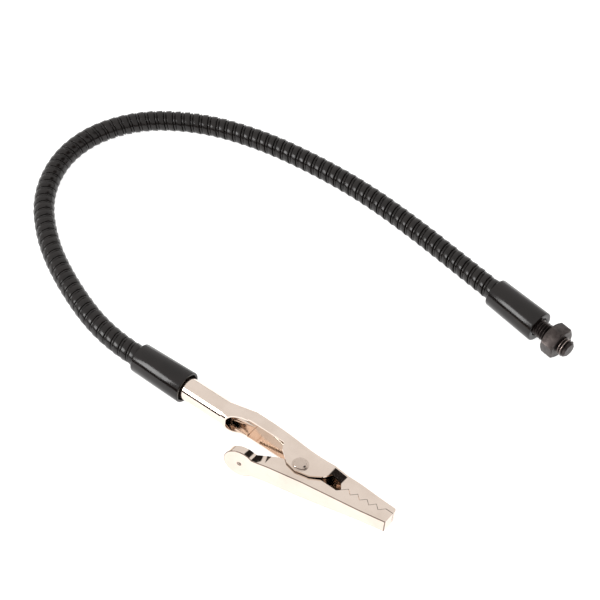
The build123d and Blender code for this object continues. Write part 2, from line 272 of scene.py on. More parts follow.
class Recipe:
    """A material's node sheet, built up from object coordinates."""

    def __init__(self, name: str) -> None:
        """Start a material that holds one shader and its output.

        Args:
            name: the material's name.
        """
        self.material = bpy.data.materials.new(name)
        self.material.use_nodes = True
        self.nodes = self.material.node_tree.nodes
        self.links = self.material.node_tree.links
        self.shader = self.nodes["Principled BSDF"]
        self.place = self.nodes.new("ShaderNodeTexCoord").outputs["Object"]

    def set(self, **values: float) -> None:
        """Set constant values on the shader's own sockets."""
        for socket, value in values.items():
            self.shader.inputs[socket.replace("_", " ")].default_value = value

    def stretched(self, scale: tuple[float, float, float], turn: float = 0.0) -> bpy.types.NodeSocket:
        """Coordinates stretched for a pattern with a grain.

        Args:
            scale: the factor along each axis.
            turn: degrees about the vertical.

        Returns:
            The stretched vector.
        """
        node = self.nodes.new("ShaderNodeMapping")
        node.inputs["Rotation"].default_value = (0, 0, math.radians(turn))
        node.inputs["Scale"].default_value = scale
        self.links.new(self.place, node.inputs["Vector"])
        return node.outputs["Vector"]

    def noise(self, per_metre: float, detail: float = 4.0, roughness: float = 0.55,
              vector: bpy.types.NodeSocket | None = None) -> bpy.types.NodeSocket:
        """A noise field.

        Args:
            per_metre: how many features fit in a metre.
            detail: octaves.
            roughness: how strong the fine octaves are.
            vector: coordinates to read, or the object's own.

        Returns:
            The noise value.
        """
        node = self.nodes.new("ShaderNodeTexNoise")
        node.inputs["Scale"].default_value = per_metre
        node.inputs["Detail"].default_value = detail
        node.inputs["Roughness"].default_value = roughness
        self.links.new(vector or self.place, node.inputs["Vector"])
        return node.outputs["Fac"]

    def tint(self, value: bpy.types.NodeSocket, low: tuple[float, float, float],
             high: tuple[float, float, float], start: float = 0.3, end: float = 0.7) -> bpy.types.NodeSocket:
        """A colour that runs between two tones as a value rises.

        Args:
            value: the driving field.
            low: colour below start.
            high: colour above end.
            start: where the change begins.
            end: where it ends.

        Returns:
            The colour.
        """
        ramp = self.nodes.new("ShaderNodeValToRGB")
        ramp.color_ramp.elements[0].position = start
        ramp.color_ramp.elements[0].color = (*low, 1)
        ramp.color_ramp.elements[1].position = end
        ramp.color_ramp.elements[1].color = (*high, 1)
        self.links.new(value, ramp.inputs["Fac"])
        return ramp.outputs["Color"]

    def spread(self, value: bpy.types.NodeSocket, low: float, high: float, start: float = 0.3,
               end: float = 0.7) -> bpy.types.NodeSocket:
        """A number that runs between two levels as a value rises.

        Args:
            value: the driving field.
            low: level at or below start.
            high: level at or above end.
            start: where the change begins.
            end: where it ends.

        Returns:
            The level.
        """
        node = self.nodes.new("ShaderNodeMapRange")
        node.inputs["From Min"].default_value = start
        node.inputs["From Max"].default_value = end
        node.inputs["To Min"].default_value = low
        node.inputs["To Max"].default_value = high
        self.links.new(value, node.inputs["Value"])
        return node.outputs["Result"]

    def blend(self, share: bpy.types.NodeSocket, first: bpy.types.NodeSocket,
              second: bpy.types.NodeSocket) -> bpy.types.NodeSocket:
        """Two colours mixed by a share.

        Args:
            share: 0 gives the first, 1 the second.
            first: one colour.
            second: the other.

        Returns:
            The mixed colour.
        """
        node = self.nodes.new("ShaderNodeMix")
        node.data_type = "RGBA"
        self.links.new(share, node.inputs["Factor"])
        self.links.new(first, node.inputs["A"])
        self.links.new(second, node.inputs["B"])
        return [out for out in node.outputs if out.type == "RGBA"][0]

    def finish(self, colour: bpy.types.NodeSocket, roughness: bpy.types.NodeSocket,
               height: bpy.types.NodeSocket, depth: float) -> bpy.types.Material:
        """Wire the fields to the shader.

        Args:
            colour: base colour.
            roughness: surface roughness.
            height: relief field.
            depth: relief depth in metres.

        Returns:
            The finished material.
        """
        bump = self.nodes.new("ShaderNodeBump")
        bump.inputs["Strength"].default_value = 0.6
        bump.inputs["Distance"].default_value = depth
        self.links.new(height, bump.inputs["Height"])
        self.links.new(bump.outputs["Normal"], self.shader.inputs["Normal"])
        self.links.new(colour, self.shader.inputs["Base Color"])
        self.links.new(roughness, self.shader.inputs["Roughness"])
        return self.material


@dataclass(frozen=True)
class SatinBlack:
    """Black lacquer on steel, slightly brown, with rubbed patches and a fine grain."""

    name: str = "satin_black"
    deep: tuple[float, float, float] = (0.0045, 0.003, 0.0027)
    pale: tuple[float, float, float] = (0.010, 0.007, 0.0062)
    rubbed: tuple[float, float, float] = (0.032, 0.024, 0.021)
    smoothest: float = 0.17
    roughest: float = 0.3
    rubbed_share: float = 0.66
    rub_edge: float = 0.1
    patch_scale: float = 260
    rub_scale: float = 620
    sheen_scale: float = 480
    grain_scale: float = 4200
    grain: float = 0.012 * MM

    def make(self) -> bpy.types.Material:
        """Build the material."""
        recipe = Recipe(self.name)
        recipe.set(Metallic=0.0, Specular_IOR_Level=0.42)
        patches = recipe.noise(self.patch_scale, 5)
        ground = recipe.tint(patches, self.deep, self.pale)
        rubbing = recipe.spread(recipe.noise(self.rub_scale, 6, 0.65), 0.0, 1.0, self.rubbed_share,
                                self.rubbed_share + self.rub_edge)
        worn = recipe.tint(patches, self.rubbed, self.rubbed)
        colour = recipe.blend(rubbing, ground, worn)
        roughness = recipe.spread(recipe.noise(self.sheen_scale, 4), self.smoothest, self.roughest)
        return recipe.finish(colour, roughness, recipe.noise(self.grain_scale, 3), self.grain)


@dataclass(frozen=True)
class BlackOxide:
    """Black conversion coat on machined steel, with a turned grain."""

    name: str = "black_oxide_steel"
    deep: tuple[float, float, float] = (0.028, 0.022, 0.021)
    pale: tuple[float, float, float] = (0.075, 0.062, 0.058)
    smoothest: float = 0.26
    roughest: float = 0.45
    patch_scale: float = 520
    sheen_scale: float = 900
    grain_scale: float = 3800
    grain: float = 0.01 * MM

    def make(self) -> bpy.types.Material:
        """Build the material."""
        recipe = Recipe(self.name)
        recipe.set(Metallic=0.85)
        colour = recipe.tint(recipe.noise(self.patch_scale, 5), self.deep, self.pale)
        roughness = recipe.spread(recipe.noise(self.sheen_scale, 4), self.smoothest, self.roughest)
        return recipe.finish(colour, roughness, recipe.noise(self.grain_scale, 4), self.grain)


@dataclass(frozen=True)
class BareCrest:
    """Steel where the coat has rubbed off an edge, warm grey with dark flecks."""

    name: str = "bare_steel_edge"
    deep: tuple[float, float, float] = (0.34, 0.25, 0.22)
    pale: tuple[float, float, float] = (0.85, 0.72, 0.66)
    smoothest: float = 0.24
    roughest: float = 0.42
    fleck_scale: float = 1400
    sheen_scale: float = 1100
    grain_scale: float = 5200
    grain: float = 0.006 * MM

    def make(self) -> bpy.types.Material:
        """Build the material."""
        recipe = Recipe(self.name)
        recipe.set(Metallic=1.0)
        colour = recipe.tint(recipe.noise(self.fleck_scale, 5, 0.7), self.deep, self.pale)
        roughness = recipe.spread(recipe.noise(self.sheen_scale, 4), self.smoothest, self.roughest)
        return recipe.finish(colour, roughness, recipe.noise(self.grain_scale, 3), self.grain)


@dataclass(frozen=True)
class Nickel:
    """Bright plated sheet steel: warm white, faintly rolled, with soft tarnish and hairlines."""

    name: str = "bright_nickel"
    bright: tuple[float, float, float] = (0.85, 0.735, 0.65)
    dull: tuple[float, float, float] = (0.77, 0.655, 0.57)
    smoothest: float = 0.05
    roughest: float = 0.12
    tarnish_scale: float = 150
    sheen_scale: float = 700
    hairline_scale: float = 5200
    roll_direction: float = 37.4
    roll_stretch: float = 0.12
    grain: float = 0.0022 * MM

    def make(self) -> bpy.types.Material:
        """Build the material."""
        recipe = Recipe(self.name)
        recipe.set(Metallic=1.0)
        colour = recipe.tint(recipe.noise(self.tarnish_scale, 5), self.dull, self.bright, 0.25, 0.6)
        rolled = recipe.stretched((self.roll_stretch, 1.0, 1.0), self.roll_direction)
        hairlines = recipe.noise(self.hairline_scale, 3, 0.6, rolled)
        roughness = recipe.spread(recipe.noise(self.sheen_scale, 5), self.smoothest, self.roughest)
        return recipe.finish(colour, roughness, hairlines, self.grain)


@dataclass(frozen=True)
class SpringSteel:
    """Drawn wire, tan grey with a fine grain."""

    name: str = "drawn_spring_wire"
    deep: tuple[float, float, float] = (0.36, 0.30, 0.24)
    pale: tuple[float, float, float] = (0.64, 0.56, 0.47)
    smoothest: float = 0.2
    roughest: float = 0.36
    patch_scale: float = 800
    sheen_scale: float = 1500
    grain_scale: float = 6000
    grain: float = 0.004 * MM

    def make(self) -> bpy.types.Material:
        """Build the material."""
        recipe = Recipe(self.name)
        recipe.set(Metallic=1.0)
        colour = recipe.tint(recipe.noise(self.patch_scale, 4), self.deep, self.pale)
        roughness = recipe.spread(recipe.noise(self.sheen_scale, 4), self.smoothest, self.roughest)
        return recipe.finish(colour, roughness, recipe.noise(self.grain_scale, 3), self.grain)


@dataclass(frozen=True)
class PaleTable:
    """A matt white table top."""

    name: str = "pale_table"
    glow: float = 0.86
    shade: float = 0.56
    light: float = 0.58
    cloud_scale: float = 9
    sheen_scale: float = 30
    grain_scale: float = 900
    grain: float = 0.004 * MM

    def make(self) -> bpy.types.Material:
        """Build the material."""
        recipe = Recipe(self.name)
        recipe.set(Metallic=0.0, Specular_IOR_Level=0.1, Emission_Strength=self.glow)
        recipe.shader.inputs["Emission Color"].default_value = (1, 1, 1, 1)
        colour = recipe.tint(recipe.noise(self.cloud_scale, 3), (self.shade,) * 3, (self.light,) * 3)
        roughness = recipe.spread(recipe.noise(self.sheen_scale, 3), 0.65, 0.75)
        return recipe.finish(colour, roughness, recipe.noise(self.grain_scale, 2), self.grain)


@dataclass
class FinishRack:
    """Every finish, made once."""

    neck: bpy.types.Material = field(init=False)
    wire: bpy.types.Material = field(init=False)
    core: bpy.types.Material = field(init=False)
    collar: bpy.types.Material = field(init=False)
    oxide: bpy.types.Material = field(init=False)
    bare: bpy.types.Material = field(init=False)
    nickel: bpy.types.Material = field(init=False)
    rivet: bpy.types.Material = field(init=False)
    # bend: dark nickel for the rounded folds, painted shade that stands in for the dark reflection line along
    # each bend
    bend: bpy.types.Material = field(init=False)
    spring: bpy.types.Material = field(init=False)
    table: bpy.types.Material = field(init=False)

    def __post_init__(self) -> None:
        """Make the finishes."""
        self.neck = SatinBlack("neck_band_black").make()
        self.wire = SatinBlack("neck_wire_black", smoothest=0.14, roughest=0.26).make()
        self.core = SatinBlack("neck_groove_black", deep=(0.004, 0.0035, 0.0035), pale=(0.007, 0.006, 0.006),
                               rubbed=(0.01, 0.009, 0.009), smoothest=0.6, roughest=0.8).make()
        self.collar = SatinBlack("collar_black", smoothest=0.11, roughest=0.2, rubbed_share=0.72).make()
        self.oxide = BlackOxide().make()
        self.bare = BareCrest().make()
        self.nickel = Nickel().make()
        self.rivet = Nickel("rivet_nickel", bright=(0.70, 0.60, 0.52), dull=(0.58, 0.48, 0.42), smoothest=0.12,
                             roughest=0.24).make()
        # Dark nickel for the lower jaw's rounded folds: painted shade, the dark reflection line along each bend
        # painted into the metal's colour.
        self.bend = Nickel("painted_fold_shade_nickel", bright=(0.34, 0.265, 0.22), dull=(0.2, 0.15, 0.125), smoothest=0.16,
                            roughest=0.3).make()
        self.spring = SpringSteel().make()
        self.table = PaleTable().make()


# ---------------------------------------------------------------- neck


@dataclass
class ArmPath:
    """The arm's axis on the table: its stations read from the frame's own joints, its headings added up from
    listed turns.
    """

    start_heading: float = 132.14
    turns: tuple[float, ...] = (0.0, 3.0, 7.0, 6.0, 11.0, 19.0, 32.0, 39.0, 30.0, 16.0, 9.0, 18.5)
    link_length: float = 18.76 * MM
    rib_pitch: float = 2.68 * MM
    ferrule_length: float = 16.0 * MM
    lead_in: float = 8.0 * MM
    span_points: int = 48
    stations: list[Vector] = field(init=False)
    headings: list[float] = field(init=False)

    def __post_init__(self) -> None:
        """Read the joints in order from the stud to the clip, and add up the headings."""
        hinges = [joint for joint in frame["joints"] if joint["name"].startswith("neck_")]
        hinges.sort(key=lambda joint: joint["name"][-2:])
        self.stations = [Vector(joint["pos_m"]) for joint in hinges]
        self.headings = [self.start_heading]
        for turn in self.turns:
            self.headings.append(self.headings[-1] + turn)

    @staticmethod
    def ahead(heading: float) -> Vector:
        """The level direction of a heading in degrees."""
        return Vector((math.cos(math.radians(heading)), math.sin(math.radians(heading)), 0))

    @staticmethod
    def left(heading: float) -> Vector:
        """The level direction to the left of a heading in degrees."""
        return Vector((-math.sin(math.radians(heading)), math.cos(math.radians(heading)), 0))

    def stud_mouth(self) -> Vector:
        """Where the neck leaves the stud's ferrule."""
        return self.stations[0] - self.rib_pitch * self.ahead(self.headings[0])

    def clip_mouth(self) -> Vector:
        """Where the neck enters the clip's ferrule."""
        return self.stations[-1] + self.rib_pitch * self.ahead(self.headings[-1])

    def middle(self, link: int) -> Vector:
        """The middle of a link's arc.

        Args:
            link: 1 for the link next to the stud.

        Returns:
            The point on the axis.
        """
        half = self.turns[link - 1] / 2
        chord = self.link_length / 2
        if half:
            chord = chord * math.sin(math.radians(half / 2)) / math.radians(half / 2)
        return self.stations[link - 1] + chord * self.ahead(self.headings[link - 1] + half / 2)

    def curve(self) -> bpy.types.Object:
        """The axis as a curve object that starts a lead-in before the stud's ferrule mouth.

        Returns:
            The curve, one Bezier span to each arc.
        """
        data = bpy.data.curves.new("arm_axis", "CURVE")
        data.dimensions = "3D"
        data.twist_mode = "Z_UP"
        data.resolution_u = self.span_points
        spline = data.splines.new("BEZIER")
        reach = self.lead_in + self.rib_pitch
        points = [self.stations[0] - reach * self.ahead(self.headings[0]), *self.stations,
                  self.stations[-1] + reach * self.ahead(self.headings[-1])]
        headings = [self.headings[0], *self.headings, self.headings[-1]]
        turns = [0.0, *self.turns, 0.0]
        lengths = [reach, *[self.link_length] * len(self.turns), reach]
        spline.bezier_points.add(len(points) - 1)
        for number, (place, heading) in enumerate(zip(points, headings)):
            knot = spline.bezier_points[number]
            knot.co = place
            before = self.handle(lengths[number - 1], turns[number - 1]) if number else reach / 3
            after = self.handle(lengths[number], turns[number]) if number < len(turns) else reach / 3
            knot.handle_left_type = knot.handle_right_type = "FREE"
            knot.handle_left = place - before * self.ahead(heading)
            knot.handle_right = place + after * self.ahead(heading)
        path = bpy.data.objects.new("arm_axis", data)
        bpy.context.scene.collection.objects.link(path)
        return path

    @staticmethod
    def handle(length: float, turn: float) -> float:
        """The handle length that makes a Bezier span follow an arc.

        Args:
            length: the arc's length.
            turn: the arc's turn in degrees.

        Returns:
            The handle's length.
        """
        if turn == 0.0:
            return length / 3
        angle = math.radians(turn)
        return 4 / 3 * math.tan(angle / 4) * length / angle


@dataclass
class Neck:
    """The gooseneck: a broad shouldered band and a round wire wound side by side on one spring."""

    path: ArmPath
    finishes: FinishRack
    radius: float = 3.0 * MM
    band_width: float = 1.66 * MM
    band_height: float = 0.62 * MM
    band_round: float = 0.17 * MM
    band_lean: float = 0.16 * MM
    wire_radius: float = 0.46 * MM
    wire_sink: float = 0.16 * MM
    core_radius: float = 2.46 * MM
    turns_per_link: int = 7
    steps: int = 32
    end_turns: int = 6
    crisp_angle: float = 40.0

    def coil(self, name: str, turns: int) -> bpy.types.Object:
        """A straight stretch of both wires and the dark core, wound along +X from zero.

        Args:
            name: the object's name.
            turns: how many turns it has.

        Returns:
            The closed mesh.
        """
        band = self.wound(self.band_profile(), turns, self.finishes.neck)
        wire = self.wound(self.wire_profile(), turns, self.finishes.wire)
        core = self.core(turns)
        band.name = name
        return Bench.join(band, [wire, core])

    def band_profile(self) -> bpy.types.Object:
        """The band's section: a rectangle with rounded corners whose stud side stands proud."""
        Bench.clear()
        bpy.ops.mesh.primitive_plane_add(size=1, rotation=(math.pi / 2, 0, 0),
                                         location=(0, 0, self.radius - self.band_height / 2))
        profile = bpy.context.object
        profile.scale = (self.band_width, self.band_height, 1)
        Bench.settle(profile)
        bpy.ops.object.mode_set(mode="EDIT")
        bpy.ops.mesh.select_all(action="SELECT")
        bpy.ops.mesh.bevel(offset=self.band_round, segments=3, affect="VERTICES")
        bpy.ops.mesh.select_mode(type="VERT")
        bpy.ops.mesh.select_all(action="DESELECT")
        Bench.leave()
        for vertex in profile.data.vertices:
            vertex.select = vertex.co.x > 0 and vertex.co.z > self.radius - self.band_height / 2
        bpy.ops.object.mode_set(mode="EDIT")
        bpy.ops.transform.translate(value=(0, 0, -self.band_lean))
        bpy.ops.mesh.select_all(action="SELECT")
        bpy.ops.mesh.delete(type="ONLY_FACE")
        Bench.leave()
        return profile

    def wire_profile(self) -> bpy.types.Object:
        """The round wire's section, half a pitch along from the band."""
        Bench.clear()
        bpy.ops.mesh.primitive_circle_add(
            vertices=12, radius=self.wire_radius, rotation=(math.pi / 2, 0, 0),
            location=(self.path.rib_pitch / 2, 0, self.radius - self.wire_sink - self.wire_radius))
        profile = bpy.context.object
        Bench.settle(profile)
        return profile

    def wound(self, profile: bpy.types.Object, turns: int, finish: bpy.types.Material) -> bpy.types.Object:
        """Wind a section into a closed helical wire.

        Args:
            profile: the section, a closed loop beside the axis.
            turns: how many turns it makes.
            finish: the wire's finish.

        Returns:
            The wound wire.
        """
        screw = profile.modifiers.new("wind", "SCREW")
        screw.axis = "X"
        screw.angle = math.tau
        screw.screw_offset = self.path.rib_pitch
        screw.iterations = turns
        screw.steps = screw.render_steps = self.steps
        screw.use_smooth_shade = True
        screw.use_merge_vertices = False
        Bench.apply(profile)
        Bench.clean(profile)
        profile.data.materials.clear()
        profile.data.materials.append(finish)
        return profile

    def core(self, turns: int) -> bpy.types.Object:
        """The dark inside of the spring, seen down the grooves.

        Args:
            turns: the stretch's length in turns.

        Returns:
            A round bar with a ring to each half turn.
        """
        length = turns * self.path.rib_pitch
        Bench.clear()
        bpy.ops.mesh.primitive_cylinder_add(vertices=32, radius=self.core_radius, depth=length,
                                            rotation=(0, math.pi / 2, 0), location=(length / 2, 0, 0))
        bar = bpy.context.object
        Bench.settle(bar)
        for number in range(1, 2 * turns):
            bpy.ops.object.mode_set(mode="EDIT")
            bpy.ops.mesh.select_all(action="SELECT")
            bpy.ops.mesh.bisect(plane_co=(number * self.path.rib_pitch / 2, 0, 0), plane_no=(1, 0, 0))
            Bench.leave()
        bar.data.materials.append(self.finishes.core)
        return bar

    def laid(self, template: bpy.types.Object, name: str, distance: float,
             path: bpy.types.Object) -> bpy.types.Object:
        """Copy a straight stretch and lay the copy along the arm's axis.

        Args:
            template: the straight stretch.
            name: the new piece's name.
            distance: how far along the axis curve it starts.
            path: the axis curve.

        Returns:
            The laid piece.
        """
        piece = template.copy()
        piece.data = template.data.copy()
        piece.name = name
        bpy.context.scene.collection.objects.link(piece)
        piece.location = (distance, 0, 0)
        Bench.settle(piece)
        follow = piece.modifiers.new("lay", "CURVE")
        follow.object = path
        follow.deform_axis = "POS_X"
        Bench.apply(piece)
        Bench.smooth(piece, self.crisp_angle)
        return piece

    def crossing(self, number: int) -> tuple[list[str], tuple[str, str], Vector, Vector]:
        """What one stretch covers and where it bends.

        Args:
            number: 0 for the stretch next to the stud.

        Returns:
            The frame nodes it replaces, the bodies it joins, and where its bend starts and ends.
        """
        last = len(self.path.turns)
        if number == 0:
            start = self.path.stud_mouth()
            nodes = ["neck_end_stud", "neck_link_01"]
            return nodes, ("stud_end", "link_01"), start, 2 * self.path.stations[0] - start
        if number == last:
            end = self.path.clip_mouth()
            bodies = (f"link_{number:02d}", "clip_end")
            return ["neck_end_clip"], bodies, 2 * self.path.stations[-1] - end, end
        bodies = (f"link_{number:02d}", f"link_{number + 1:02d}")
        return [f"neck_link_{number + 1:02d}"], bodies, self.path.middle(number), self.path.middle(number + 1)

    def build(self) -> None:
        """Make the thirteen stretches, one across each joint, and bend each across its joint."""
        path = self.path.curve()
        full = self.coil("coil_template", self.turns_per_link)
        short = self.coil("coil_end_template", self.end_turns)
        last = len(self.path.turns)
        first_middle = self.path.lead_in + self.path.rib_pitch + self.path.link_length / 2
        for number in range(last + 1):
            name = f"neck_coil_{number:02d}"
            if number == 0:
                distance = first_middle - self.end_turns * self.path.rib_pitch
            else:
                distance = first_middle + (number - 1) * self.path.link_length
            piece = self.laid(short if number in (0, last) else full, name, distance, path)
            nodes, bodies, start, end = self.crossing(number)
            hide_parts(*nodes)
            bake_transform(piece)
            log.info("%s bends between %s and %s", name, *bodies)
        for spent in (full, short, path):
            bpy.data.objects.remove(spent)


# ---------------------------------------------------------------- ferrules


@dataclass
class Ferrule:
    """A tapered collar: the neck goes in one end, the stud or the clip's barrel in the other."""

    name: str
    body: str
    mouth: Vector
    outward: Vector
    far_bore: float
    far_recess: float
    finishes: FinishRack
    length: float = 16.0 * MM
    small_radius: float = 4.05 * MM
    large_radius: float = 4.35 * MM
    neck_bore: float = 3.06 * MM
    neck_depth: float = 7.0 * MM
    edge: float = 0.35 * MM
    facets: int = 96

    def build(self) -> None:
        """Turn the collar, sink both mouths, round its edges and stand it on the arm's axis."""
        Bench.clear()
        bpy.ops.mesh.primitive_cone_add(vertices=self.facets, radius1=self.small_radius,
                                        radius2=self.large_radius, depth=self.length,
                                        location=(0, 0, self.length / 2))
        collar = bpy.context.object
        Bench.settle(collar)
        self.sink(collar, top=False, rim=self.small_radius - self.neck_bore, depth=self.neck_depth)
        self.sink(collar, top=True, rim=self.large_radius - self.far_bore, depth=self.far_recess)
        collar.data.materials.append(self.finishes.collar)
        Bench.soften(collar, self.edge, segments=3, angle=45)
        Bench.clean(collar)
        Bench.smooth(collar, angle=28)
        collar.name = self.name + "_turned"
        Bench.stand(collar, self.mouth, self.outward, Vector((0, 0, 1)))
        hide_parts(self.name)
        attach(collar, self.body)
        log.info("%s built", collar.name)

    @staticmethod
    def sink(collar: bpy.types.Object, top: bool, rim: float, depth: float) -> None:
        """Sink a round mouth into one end.

        Args:
            collar: the collar, standing along +Z.
            top: True for the upper end.
            rim: the rim's width.
            depth: how deep the mouth goes.
        """
        sign = 1 if top else -1
        Bench.choose_faces(collar, lambda centre, normal: normal.z * sign > 0.9)
        bpy.ops.mesh.inset(thickness=rim)
        bpy.ops.mesh.extrude_region_move(TRANSFORM_OT_translate={"value": (0, 0, -sign * depth)})
        Bench.leave()


# ---------------------------------------------------------------- stud and nut


@dataclass
class StudAndNut:
    """The mounting stud with its rolled thread, and the hexagon nut that runs on it."""

    path: ArmPath
    finishes: FinishRack
    crest_radius: float = 2.5 * MM
    root_radius: float = 2.06 * MM
    thread_pitch: float = 0.8 * MM
    crest_flat: float = 0.1 * MM
    grip: float = 8.0 * MM
    exposed: float = 10.4 * MM
    tip_chamfer: float = 0.7 * MM
    across_flats: float = 8.0 * MM
    nut_thickness: float = 4.0 * MM
    nut_gap: float = 3.8 * MM
    nut_turn: float = 10.0
    nut_bore: float = 2.56 * MM
    countersink: float = 0.45 * MM
    corner_inset: float = 0.75 * MM
    corner_drop: float = 0.42 * MM
    nut_edge: float = 0.09 * MM
    worn_band: float = 0.12 * MM
    spare: float = 1.0 * MM
    steps: int = 48

    def build(self) -> None:
        """Make the stud and the nut."""
        axis = -self.path.ahead(self.path.headings[0])
        face = self.path.stud_mouth() + self.path.ferrule_length * axis
        self.stud(face, axis)
        self.nut(face, axis)

    def stud(self, face: Vector, axis: Vector) -> None:
        """Wind the thread, trim it to a chamfered bar and stand it in the ferrule.

        Args:
            face: the ferrule's outer face on the axis.
            axis: the way the stud points.
        """
        thread = self.thread()
        blank = Bench.bar(self.crest_radius, self.grip + self.exposed, 96, -self.grip)
        Bench.choose_faces(blank, lambda centre, normal: normal.z > 0.9)
        bpy.ops.mesh.bevel(offset=self.tip_chamfer, segments=1, affect="EDGES")
        Bench.leave()
        Bench.carve(thread, blank, "INTERSECT")
        thread.data.materials.clear()
        thread.data.materials.append(self.finishes.oxide)
        thread.data.materials.append(self.finishes.bare)
        for facet in thread.data.polygons:
            reach = math.hypot(facet.center.x, facet.center.y)
            crest = reach > self.crest_radius - self.worn_band and abs(facet.normal.z) < 0.5
            if crest and facet.center.z > self.nut_gap + self.nut_thickness - self.spare / 2:
                facet.material_index = 1
        Bench.smooth(thread, angle=32)
        thread.name = "threaded_stud_rolled"
        Bench.stand(thread, face, axis, self.path.left(self.path.headings[0]))
        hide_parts("threaded_stud")
        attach(thread, "stud_end")
        log.info("stud built with %d faces", len(thread.data.polygons))

    def thread(self) -> bpy.types.Object:
        """A bar with a screw thread cut round it, longer than the stud at both ends.

        Returns:
            The closed threaded bar along +Z.
        """
        turns = math.ceil((self.grip + self.exposed) / self.thread_pitch) + 3
        Bench.clear()
        bpy.ops.mesh.primitive_plane_add(size=1, rotation=(math.pi / 2, 0, 0))
        ridge = bpy.context.object
        half = self.thread_pitch / 2
        outline = [(self.root_radius, -half), (self.crest_radius, -self.crest_flat / 2),
                   (self.crest_radius, self.crest_flat / 2), (self.root_radius, half)]
        Bench.settle(ridge)
        bpy.ops.object.mode_set(mode="EDIT")
        bpy.ops.mesh.select_all(action="SELECT")
        bpy.ops.mesh.delete(type="ONLY_FACE")
        Bench.leave()
        self.shape_ridge(ridge, outline)
        screw = ridge.modifiers.new("wind", "SCREW")
        screw.axis = "Z"
        screw.screw_offset = self.thread_pitch
        screw.iterations = turns
        screw.steps = screw.render_steps = self.steps
        screw.use_merge_vertices = False
        Bench.apply(ridge)
        ridge.location = (0, 0, -self.grip - 1.5 * self.thread_pitch)
        Bench.settle(ridge)
        Bench.clean(ridge, 0.004 * MM)
        return ridge

    @staticmethod
    def shape_ridge(ridge: bpy.types.Object, outline: list[tuple[float, float]]) -> None:
        """Move a square's corners to the ridge's outline and open its inner side.

        Args:
            ridge: the square outline, in the XZ plane.
            outline: the ridge's four corners as radius and height.
        """
        order = sorted(range(4), key=lambda n: ridge.data.vertices[n].co.z)
        low = sorted(order[:2], key=lambda n: ridge.data.vertices[n].co.x)
        high = sorted(order[2:], key=lambda n: ridge.data.vertices[n].co.x)
        for corner, (radius, height) in zip((low[0], low[1], high[1], high[0]), outline):
            ridge.data.vertices[corner].co = (radius, 0, height)
        Bench.pick(ridge)
        bpy.ops.object.mode_set(mode="EDIT")
        bpy.ops.mesh.select_mode(type="EDGE")
        bpy.ops.mesh.select_all(action="DESELECT")
        Bench.leave()
        for edge in ridge.data.edges:
            edge.select = set(edge.vertices) == {low[0], high[0]}
        bpy.ops.object.mode_set(mode="EDIT")
        bpy.ops.mesh.delete(type="EDGE")
        Bench.leave()

    def nut(self, face: Vector, axis: Vector) -> None:
        """Cut the nut from hexagon bar, turn off its corners, bore and countersink it.

        Args:
            face: the ferrule's outer face on the axis.
            axis: the way the stud points.
        """
        corner = self.across_flats / 2 / math.cos(math.pi / 6)
        nut = Bench.bar(corner, self.nut_thickness, 6)
        self.turn_corners(nut, corner)
        drill = Bench.bar(self.nut_bore, self.nut_thickness + 2 * self.spare, 72, -self.spare)
        Bench.carve(nut, drill, "DIFFERENCE")
        self.countersink_mouths(nut)
        nut.data.materials.append(self.finishes.oxide)
        Bench.clean(nut, 0.001 * MM)
        Bench.soften(nut, self.nut_edge, segments=2, angle=25)
        Bench.smooth(nut, angle=30)
        nut.name = "hex_nut_turned"
        nut.rotation_euler = (0, 0, math.radians(self.nut_turn))
        Bench.settle(nut)
        Bench.stand(nut, face + self.nut_gap * axis, axis, self.path.left(self.path.headings[0]))
        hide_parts("hex_nut")
        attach(nut, "nut")
        log.info("nut built with %d faces", len(nut.data.polygons))

    def turn_corners(self, nut: bpy.types.Object, corner: float) -> None:
        """Turn the corners off both faces of the hexagon bar.

        Args:
            nut: the hexagon bar.
            corner: its radius to a corner.
        """
        lathe = Bench.bar(corner + 0.02 * MM, self.nut_thickness, 96)
        Bench.choose_faces(lathe, lambda centre, normal: abs(normal.z) > 0.9)
        bpy.ops.mesh.inset(thickness=self.corner_inset)
        Bench.leave()
        for vertex in lathe.data.vertices:
            if math.hypot(vertex.co.x, vertex.co.y) > corner - 0.1 * MM:
                lower = vertex.co.z < self.nut_thickness / 2
                vertex.co.z += self.corner_drop if lower else -self.corner_drop
        Bench.carve(nut, lathe, "INTERSECT")

    def countersink_mouths(self, nut: bpy.types.Object) -> None:
        """Countersink both mouths of the nut's bore.

        Args:
            nut: the bored nut.
        """
        flare = self.nut_bore + self.countersink
        for height, lower, upper, shift in ((self.nut_thickness, self.nut_bore, flare, -self.countersink / 2),
                                            (0.0, flare, self.nut_bore, self.countersink / 2)):
            Bench.clear()
            bpy.ops.mesh.primitive_cone_add(vertices=72, radius1=lower, radius2=upper,
                                            depth=self.countersink + 0.002 * MM,
                                            location=(0, 0, height + shift))
            sinker = bpy.context.object
            Bench.settle(sinker)
            Bench.carve(nut, sinker, "DIFFERENCE")


# ---------------------------------------------------------------- clip


